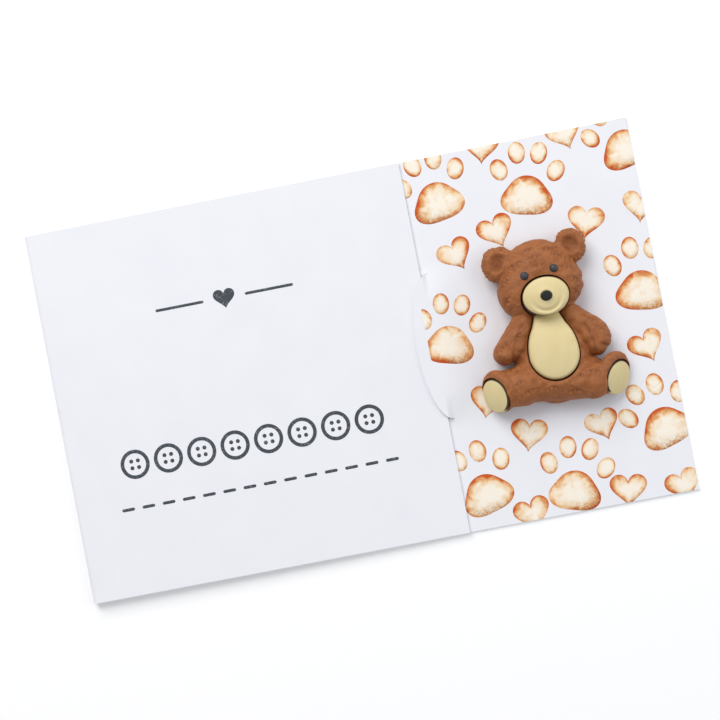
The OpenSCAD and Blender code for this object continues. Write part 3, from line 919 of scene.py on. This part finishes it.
def moulded_fur(node, place, look):
    """Moulded soft brown plastic, its mould cut as fur: matt, mottled, with painted shade in its
    hollows.
    """
    flow = node("Attribute", attribute_name="flow").outputs["Vector"]
    # Painted shade in the hollows, from the body's attribute
    painted_shade = node("Attribute", attribute_name="painted_shade").outputs["Fac"]
    # Strands about 0.4 mm wide and 0.9 mm long: the flow attribute already counts in strands
    strand = node("TexNoise", {"Vector": flow, "Scale": 1.0, "Detail": 1.5,
                               "Roughness": 0.5, "Distortion": 0.5})
    # Mottling of the colour, about 1.1 mm wide
    cloud = node("TexNoise", {"Vector": place, "Scale": 1 / (1.1 * MM), "Detail": 3.0})
    light = node("MapRange", {"Value": cloud, "From Min": 0.35, "From Max": 0.7})
    deep = node("MapRange", {"Value": strand, "From Min": 0.62, "From Max": 0.35, "To Max": 0.32})
    # Darker strands and painted shade together
    dip = node("Math", {0: deep, 1: painted_shade}, operation="ADD", use_clamp=True)
    body = node("Mix", {SHARE: light, FIRST: look.fur, SECOND: look.fur_light}, data_type="RGBA")
    tint = node("Mix", {SHARE: dip, FIRST: body, SECOND: look.fur_grain_and_shade}, data_type="RGBA")
    bump = node("Bump", {"Height": strand, "Strength": 0.32, "Distance": 0.08 * MM})
    rough = node("MapRange", {"Value": strand, "To Min": 0.5, "To Max": 0.7})
    return {"Base Color": tint, "Roughness": rough, "Normal": bump,
            "IOR": 1.48, "Specular IOR Level": 0.35}


def moulded_plastic(node, place, look, base, deep, level, grain, shine):
    """Moulded soft plastic, bead-blasted matt: faint clouds, fine grain, painted shade on rims by
    the groove.
    """
    # Painted shade on the rims, where the groove shadows them
    painted_shade = node("Attribute", attribute_name="painted_shade").outputs["Fac"]
    # Clouds about 1.8 mm wide
    cloud = node("TexNoise", {"Vector": place, "Scale": 1 / (1.8 * MM), "Detail": 3.0})
    fine = node("TexNoise", {"Vector": place, "Scale": 1 / (grain * MM), "Detail": 3.0,
                             "Roughness": 0.6})
    amount = node("MapRange", {"Value": cloud, "From Min": 0.3, "From Max": 0.75, "To Max": 0.6})
    body = node("Mix", {SHARE: amount, FIRST: base, SECOND: deep}, data_type="RGBA")
    # Mixes in the painted groove shade
    tint = node("Mix", {SHARE: painted_shade, FIRST: body, SECOND: look.rim_shade}, data_type="RGBA")
    bump = node("Bump", {"Height": fine, "Strength": 0.5, "Distance": 0.02 * MM})
    rough = node("MapRange", {"Value": fine, "To Min": level - 0.08, "To Max": level + 0.08})
    return {"Base Color": tint, "Roughness": rough, "Normal": bump,
            "IOR": 1.48, "Specular IOR Level": shine}


def watercolour_ink(node, place, look):
    """Digital print of a watercolour wash: pale in the middle, pooled at the rim, uneven."""
    rim = node("Attribute", attribute_name="rim").outputs["Fac"]
    pool = node("Attribute", attribute_name="pool").outputs["Fac"]
    # Blooms of pigment about 1.2 mm wide, and paper tooth about 0.3 mm
    bloom = node("TexNoise", {"Vector": place, "Scale": 1 / (1.2 * MM), "Detail": 4.0,
                              "Distortion": 0.6})
    tooth = node("TexNoise", {"Vector": place, "Scale": 1 / (0.3 * MM), "Detail": 2.0})
    uneven = node("MapRange", {"Value": bloom, "From Min": 0.3, "From Max": 0.7, "To Min": -0.22,
                               "To Max": 0.22})
    level = node("Math", {0: rim, 1: uneven}, operation="ADD", use_clamp=True)
    wash = node("MapRange", {"Value": level, "From Min": 0.1, "From Max": 0.62})
    edge = node("MapRange", {"Value": level, "From Min": 0.42, "From Max": 0.88})
    thin = node("Mix", {SHARE: wash, FIRST: look.ink_pale, SECOND: look.ink_wash}, data_type="RGBA")
    body = node("Mix", {SHARE: edge, FIRST: thin, SECOND: look.ink_rim}, data_type="RGBA")
    speck = node("MapRange", {"Value": tooth, "From Min": 0.3, "From Max": 0.65})
    dark = node("Math", {0: pool, 1: speck}, operation="MULTIPLY")
    tint = node("Mix", {SHARE: dark, FIRST: body, SECOND: look.ink_deep}, data_type="RGBA")
    return {"Base Color": tint, "Roughness": 0.75, "IOR": 1.5, "Specular IOR Level": 0.3}


def slate_ink(node, place, look):
    """Toner print in slate grey: dense and matt, a little open where the paper's tooth shows."""
    # Paper tooth about 0.3 mm wide
    tooth = node("TexNoise", {"Vector": place, "Scale": 1 / (0.3 * MM), "Detail": 3.0})
    bare = node("MapRange", {"Value": tooth, "From Min": 0.55, "From Max": 0.85, "To Max": 0.35})
    tint = node("Mix", {SHARE: bare, FIRST: look.slate, SECOND: look.paper_dim}, data_type="RGBA")
    return {"Base Color": tint, "Roughness": 0.6, "IOR": 1.5, "Specular IOR Level": 0.3}


def clear_glue(node, place, look):
    """Clear cast adhesive: milky, soft and slightly glossy, with small trapped haze."""
    # Haze about 0.8 mm wide
    haze = node("TexNoise", {"Vector": place, "Scale": 1 / (0.8 * MM), "Detail": 3.0})
    rough = node("MapRange", {"Value": haze, "To Min": 0.15, "To Max": 0.35})
    return {"Base Color": look.glue, "Roughness": rough, "IOR": 1.47, "Transmission Weight": 0.7}


def seen_rays(node):
    """1 for rays from the camera, also by gloss or glass, and 0 for those that light things."""
    path = node("LightPath").outputs
    seen = node("Math", {0: path["Is Camera Ray"], 1: path["Is Glossy Ray"]}, operation="MAXIMUM")
    return node("Math", {0: seen, 1: path["Is Transmission Ray"]}, operation="MAXIMUM")


def studio_paper(node, place, look):
    """Matt studio paper: plain pale, with a glow towards the camera that makes it white far off."""
    away = node("VectorMath", {0: place}, operation="LENGTH")
    amount = node("MapRange", {"Value": away, "From Min": 0.07, "From Max": 0.3, "To Min": 0.12},
                  interpolation_type="SMOOTHSTEP")
    glow = node("Math", {0: seen_rays(node), 1: amount}, operation="MULTIPLY")
    return {"Base Color": look.floor, "Roughness": 0.9, "Specular IOR Level": 0.1,
            "Emission Color": (1, 1, 1, 1), "Emission Strength": glow}


class CardOperator:
    """Shared settings of the operators."""

    bl_options = {"REGISTER", "UNDO"}


class BUTTONCARD_OT_stage(CardOperator, bpy.types.Operator):
    """Adds the floor, the lights and the camera."""

    bl_idname = "button_card.stage"
    bl_label = "Stage"

    def execute(self, context):
        scene = context.scene
        scene.view_settings.view_transform = "Standard"
        # Round floor, a hair under the card
        mesh = mesh_from(prism(circle(FLOOR_RADIUS), FLOOR_LOW, FLOOR_TOP))
        floor = shown("floor", mesh, material("matt_studio_paper", studio_paper), CARD, CARD_SHARP)

        scene.world = bpy.data.worlds.new("studio")
        scene.world.use_nodes = True
        scene.world.node_tree.nodes.clear()
        node = partial(add, scene.world.node_tree)
        # Cool soft light from all round, and plain white where the world is seen
        lit = node("Background", {"Color": (0.95, 0.97, 1.0, 1), "Strength": 0.42})
        white = node("Background", {"Color": (1, 1, 1, 1), "Strength": 1.0})
        both = node("MixShader", {0: seen_rays(node), 1: lit, 2: white})
        node("OutputWorld", {"Surface": both})
        for name, at, power, size, tint in LAMPS:
            lamp = bpy.data.lights.new(name, "AREA")
            lamp.energy, lamp.size, lamp.color = power, size, tint
            holder = linked(name, lamp)
            holder.location = at
            holder.rotation_mode = "QUATERNION"
            holder.rotation_quaternion = Vector(LAMP_AIM - at).to_track_quat("-Z", "Y")

        camera = bpy.data.cameras.new("camera")
        camera.sensor_width, camera.lens = SENSOR, SENSOR * FOCAL_SHARE
        camera.clip_start, camera.clip_end = CLIP
        scene.camera = linked("camera", camera)
        scene.camera.location = CAMERA_AT
        scene.camera.rotation_euler = [math.radians(a) for a in CAMERA_TURN]
        return {"FINISHED"}


class BUTTONCARD_OT_card(CardOperator, bpy.types.Operator):
    """Adds the folded sheet with its tuck tab."""

    bl_idname = "button_card.card"
    bl_label = "Folded card"

    def execute(self, context):
        c = card_mm()
        sheet = combined(mesh_from(card_shell()), "DIFFERENCE", mesh_from(slit_cutter()))
        # Both faces of the panel are lifted by what its upper face gains on the flat stock
        co = read(sheet.vertices, "co", 3)
        panel = (co[:, 2] < c["thickness"] + c["gap"] / 4) & (co[:, 0] > c["fold_x"])
        co[panel, 2] += panel_top(co[panel, 0], co[panel, 1]) - c["thickness"]
        sheet.vertices.foreach_set("co", co.ravel())
        sheet.update()
        stock = material("uncoated_white_card_stock", card_stock)
        piece("card_sheet", sheet, stock, CARD, CARD_SHARP, "card_stock", "folded_card")
        return {"FINISHED"}


class BUTTONCARD_OT_print(CardOperator, bpy.types.Operator):
    """Adds the printed washes of the panel and the marks of the flap."""

    bl_idname = "button_card.print"
    bl_label = "Print"

    def execute(self, context):
        c = card_mm()
        rng = np.random.default_rng(SEED)
        corner = np.array([c["length"], c["width"]])
        limits = (np.array([c["root"] - c["tab_depth"] / 2, -c["width"] / 2]), corner / 2)
        shells, rims, pools = [], [], []

        def lay(ring, middle, deep):
            """Lays one wash, with a darker pool low on its rim."""
            rows = RAMP_ROWS if middle[0] < c["root"] + c["ramp"] + RAMP_MARGIN else WASH_ROWS
            shell, rim = ink_film(ring + middle, middle, panel_top, limits, rows)
            angle = np.arctan2(shell[0][:, 1] - middle[1], shell[0][:, 0] - middle[0])
            sway = RIM_SWAY * np.cos(angle - rng.uniform(0, RIM_TURN))
            low = np.clip(-np.sin(angle + rng.uniform(-POOL_TURN, POOL_TURN)), 0, 1)
            shells.append(shell)
            rims.append(rim ** RIM_POWER * (1 - RIM_SWAY + sway))
            pools.append(deep * rim ** POOL_POWER * low)

        for x, y, size, turn in PAWS:
            spin = math.radians(turn)
            for wide, high, dent, lobes, lean, at, deep in PAW_PARTS:
                ring = blob(wide * size, high * size, dent, lobes, lean)
                lay(turned(ring, spin), turned(np.array(at) * size, spin) + (x, y), deep)
        for x, y, size, turn in HEARTS:
            lay(turned(heart(size), math.radians(turn)), np.array([x, y]), HEART_POOL)
        mesh = mesh_from(*shells)
        attribute(mesh, "rim", np.concatenate(rims))
        attribute(mesh, "pool", np.concatenate(pools))
        wash = material("printed_watercolour_wash", watercolour_ink)
        piece("printed_washes", mesh, wash, CARD, INK_SHARP, "card_stock")

        marks, whole = [], (-corner, corner)

        def stamp(ring, *at):
            """Lays one solid mark on the flap."""
            marks.append(ink_film(ring + at, np.array(at, float), flap_top, whole, MARK_ROWS)[0])

        stamp(heart(MARK_HEART), *MARK_HEART_AT)
        for x in RULE_X:
            stamp(stadium(*RULE), x, RULE_Y)
        for x in ICON_X:
            marks.append(ink_ring(*(circle(r, 64) + (x, ICON_Y) for r in ICON), flap_top))
            for dx, dy in HOLES:
                stamp(circle(ICON_HOLE, 24), x + dx, ICON_Y + dy)
        for x in STITCH_X:
            stamp(stadium(*STITCH), x, STITCH_Y)
        toner = material("printed_slate_toner", slate_ink)
        piece("printed_marks", mesh_from(*marks), toner, CARD, INK_SHARP, "card_stock")
        return {"FINISHED"}


class BUTTONCARD_OT_glue(CardOperator, bpy.types.Operator):
    """Adds the adhesive dots under the button."""

    bl_idname = "button_card.glue"
    bl_label = "Glue dots"

    def execute(self, context):
        low, high = (np.array(corner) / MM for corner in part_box("glue_dots"))
        middle, radius, thick = (high[0] + low[0]) / 2, (high[0] - low[0]) / 2, high[2] - low[2]
        # Squeezed drop: radius bulges at half height as a half sine
        level = np.linspace(0, 1, DROP_ROWS)[:, None]
        wide = radius * (1 - DROP_BULGE + DROP_BULGE * np.sin(np.pi * level))
        a = full_turn(DROP_COLS)
        side = np.stack([wide * np.cos(a), wide * np.sin(a), level * thick + 0 * a], -1)
        ends = side[[0, -1]] * (0, 0, 1)
        drop = poled(np.concatenate([ends[:1], side, ends[1:]]))
        places = [(middle, y, low[2]) for y in (high[1] - radius, low[1] + radius)]
        mesh = mesh_from(*(moved(drop, np.add, place) for place in places))
        glue = material("cast_clear_adhesive", clear_glue)
        piece("adhesive_dots", mesh, glue, CARD, GLUE_SHARP, "clear_glue", "glue_dots")
        return {"FINISHED"}


class BUTTONCARD_OT_body(CardOperator, bpy.types.Operator):
    """Adds the bear's brown body with its fur relief and pockets."""

    bl_idname = "button_card.body"
    bl_label = "Bear body"

    def execute(self, context):
        size = in_mm(context.scene.bear_sizes)
        mesh = modified(mesh_from(*bear_forms()), "REMESH", mode="VOXEL", voxel_size=size["voxel"],
                        use_smooth_shade=True)
        points = read(mesh.vertices, "co", 3)
        edges = read(mesh.edges, "vertices", 2, int)
        free = (points[:, 2] > BACK_EDGE).astype(float)
        points = relaxed(points, edges, BLEND_ROUNDS, free)
        dish = ear_dish(points)
        points[:, 2] -= size["dish"] * dish
        points = relaxed(points, edges, DISH_ROUNDS, free)
        mesh.vertices.foreach_set("co", points.ravel())
        mesh.update()
        normals = read(mesh.vertex_normals, "vector", 3)
        flow = fur_flow(points)
        shift, painted_shade = fur_relief(points, normals, size)
        points += normals * shift[:, None]
        points[:, 2] = np.maximum(points[:, 2], 0)
        mesh.vertices.foreach_set("co", points.ravel())
        # Painted shade in the strokes, tufts, creases and ear dishes
        attribute(mesh, "painted_shade", np.clip(painted_shade + DISH_SHADE * dish, 0, MOST_SHADE))
        attribute(mesh, "flow", np.stack([*flow, points[:, 2]], -1) / STRAND)
        mesh.update()
        # Pockets for belly, muzzle and pads, and the recess in the back with its bar
        groove = size["groove"]
        pad = prism(circle(PAD_RADIUS + groove), -PAD_SEAT, PAD_POCKET_TOP)
        recess = prism(circle(RECESS_RADIUS), RECESS_LOW, RECESS_TOP)
        for shell in (prism(belly_ring(groove), INLAY_FLOOR, POCKET_TOP),
                      prism(muzzle_ring(groove), INLAY_FLOOR, POCKET_TOP),
                      moved(pad, pad_place, LEFT_FOOT), moved(pad, pad_place, RIGHT_FOOT),
                      moved(recess, np.add, (0, RECESS_Y, 0))):
            cutter = mesh_from(shell)
            # The pockets' walls get painted shade
            attribute(cutter, "painted_shade", np.full(len(cutter.vertices), POCKET_SHADE))
            mesh = combined(mesh, "DIFFERENCE", cutter)
        mesh = combined(mesh, "UNION", mesh_from(prism(BAR, BAR_LOW, BAR_TOP)))
        fur = material("moulded_soft_plastic_brown", moulded_fur)
        piece("fur_body", mesh, fur, BUTTON, FUR_SHARP, "brown_plastic", "bear_body")
        return {"FINISHED"}


class BUTTONCARD_OT_inlays(CardOperator, bpy.types.Operator):
    """Adds the cream muzzle, belly and foot pads."""

    bl_idname = "button_card.inlays"
    bl_label = "Cream inlays"

    def execute(self, context):
        look, rim = context.scene.finishes, in_mm(context.scene.bear_sizes)["rim"]
        cream = material("moulded_soft_plastic_cream", moulded_plastic, look.cream, look.cream_warm,
                         *CREAM_FINISH)
        belly_top = partial(crown, centre=(0, BELLY_Y), top=BELLY_TOP, dome=BELLY_DOME)
        belly_at = np.array([0, BELLY_MIDDLE])
        belly = inlay(belly_ring(0), belly_at, belly_top, rim, INLAY_FLOOR, BELLY_STEPS)
        muzzle = inlay(muzzle_ring(0), MUZZLE[:2], muzzle_top, rim, INLAY_FLOOR, MUZZLE_STEPS)
        lower, upper = mesh_from(belly), mesh_from(muzzle)
        # Painted shade on the muzzle's rim where the groove's shadow falls, most at the upper left
        x, y = (muzzle[0][:, :2] - MUZZLE[:2]).T
        facing = 0.8 - 0.2 * x + 0.1 * y
        attribute(upper, "painted_shade", rim_shade(-to_oval(x, y, MUZZLE_HALF), facing, *MUZZLE_RIM_SHADE))
        attribute(lower, "painted_shade", np.zeros(len(lower.vertices)))
        both = combined(lower, "UNION", upper)
        piece("face_and_belly", both, cream, BUTTON, CREAM_SHARP, "cream_plastic",
              "muzzle_and_belly")

        pad_top = partial(crown, centre=(0, 0), top=PAD_STAND, dome=PAD_DOME)
        pad = inlay(circle(PAD_RADIUS, 128), np.zeros(2), pad_top, PAD_RIM, -PAD_SEAT, PAD_STEPS)
        # Painted shade on each pad's rim where the groove's shadow falls, on the side that faces
        # the body and the ankle
        x, y = pad[0][:, :2].T / PAD_RADIUS
        inside = PAD_RADIUS - PAD_RADIUS * np.hypot(x, y)
        for side, foot, down in (("left", LEFT_FOOT, 1), ("right", RIGHT_FOOT, -1)):
            mesh = mesh_from(moved(pad, pad_place, foot))
            facing = (0.3 - 0.85 * x - 0.5 * down * y) / 0.2
            attribute(mesh, "painted_shade", rim_shade(inside, facing, *PAD_RIM_SHADE))
            name, node = side + "_sole", side + "_foot_pad"
            piece(name, mesh, cream, BUTTON, CREAM_SHARP, "cream_plastic", node)
        return {"FINISHED"}


class BUTTONCARD_OT_face(CardOperator, bpy.types.Operator):
    """Adds the nose and the eyes."""

    bl_idname = "button_card.face"
    bl_label = "Nose and eyes"

    def execute(self, context):
        look = context.scene.finishes
        dark = material("moulded_soft_plastic_black", moulded_plastic, look.dark, look.dark_worn,
                        *NOSE_FINISH)
        grey = material("moulded_soft_plastic_grey", moulded_plastic, look.grey, look.grey_worn,
                        *EYE_FINISH)
        nose = inlay(circle(1.0) * NOSE_HALF, np.zeros(2), nose_top, NOSE_RIM, 0, NOSE_STEPS)
        nose = moved(nose, turned, HEAD_TILT)
        nose = moved(nose, np.add, (*MUZZLE[:2], MUZZLE_TOP - NOSE_SEAT))
        piece("nose_bead", mesh_from(nose), dark, BUTTON, BEAD_SHARP, "dark_plastic", "nose")

        # Each eye's crown is nearly a half ball
        eye_top = partial(crown, centre=(0, 0), top=EYE_LENGTH, dome=EYE_DOME)
        eye = inlay(circle(EYE_RADIUS, 72), np.zeros(2), eye_top, EYE_RIM, 0, EYE_STEPS)
        for side, sign in (("left", -1), ("right", 1)):
            at = on_head(sign * EYE_SPREAD, EYE_RISE - MUZZLE_DROP, EYE_TOP - EYE_LENGTH)
            name, mesh = side + "_eye_bead", mesh_from(moved(eye, np.add, at))
            piece(name, mesh, grey, BUTTON, BEAD_SHARP, "dark_plastic", side + "_eye")
        return {"FINISHED"}


class BUTTONCARD_PT_panel(bpy.types.Panel):
    """Lists the pieces in the sidebar."""

    bl_idname = "BUTTONCARD_PT_panel"
    bl_label = "Button card"
    bl_space_type = "VIEW_3D"
    bl_region_type = "UI"
    bl_category = "Button card"

    def draw(self, context):
        for operator in OPERATORS:
            self.layout.operator(operator.bl_idname)


OPERATORS = (
    BUTTONCARD_OT_stage,
    BUTTONCARD_OT_card,
    BUTTONCARD_OT_print,
    BUTTONCARD_OT_glue,
    BUTTONCARD_OT_body,
    BUTTONCARD_OT_inlays,
    BUTTONCARD_OT_face,
)
GROUPS = (("card_sizes", CardSizes), ("bear_sizes", BearSizes), ("finishes", Finishes))


def register():
    """Registers the classes and puts their settings on the scene."""
    for name, group in GROUPS:
        bpy.utils.register_class(group)
        setattr(bpy.types.Scene, name, bpy.props.PointerProperty(type=group))
    for made in (*OPERATORS, BUTTONCARD_PT_panel):
        bpy.utils.register_class(made)


def unregister():
    """Takes back what register did."""
    for made in (BUTTONCARD_PT_panel, *reversed(OPERATORS)):
        bpy.utils.unregister_class(made)
    for name, group in GROUPS:
        delattr(bpy.types.Scene, name)
        bpy.utils.unregister_class(group)


def main():
    """Builds everything in order."""
    register()
    bpy.ops.button_card.stage()
    bpy.ops.button_card.card()
    bpy.ops.button_card.print()
    bpy.ops.button_card.glue()
    bpy.ops.button_card.body()
    bpy.ops.button_card.inlays()
    bpy.ops.button_card.face()


if __name__ == "__main__":
    main()
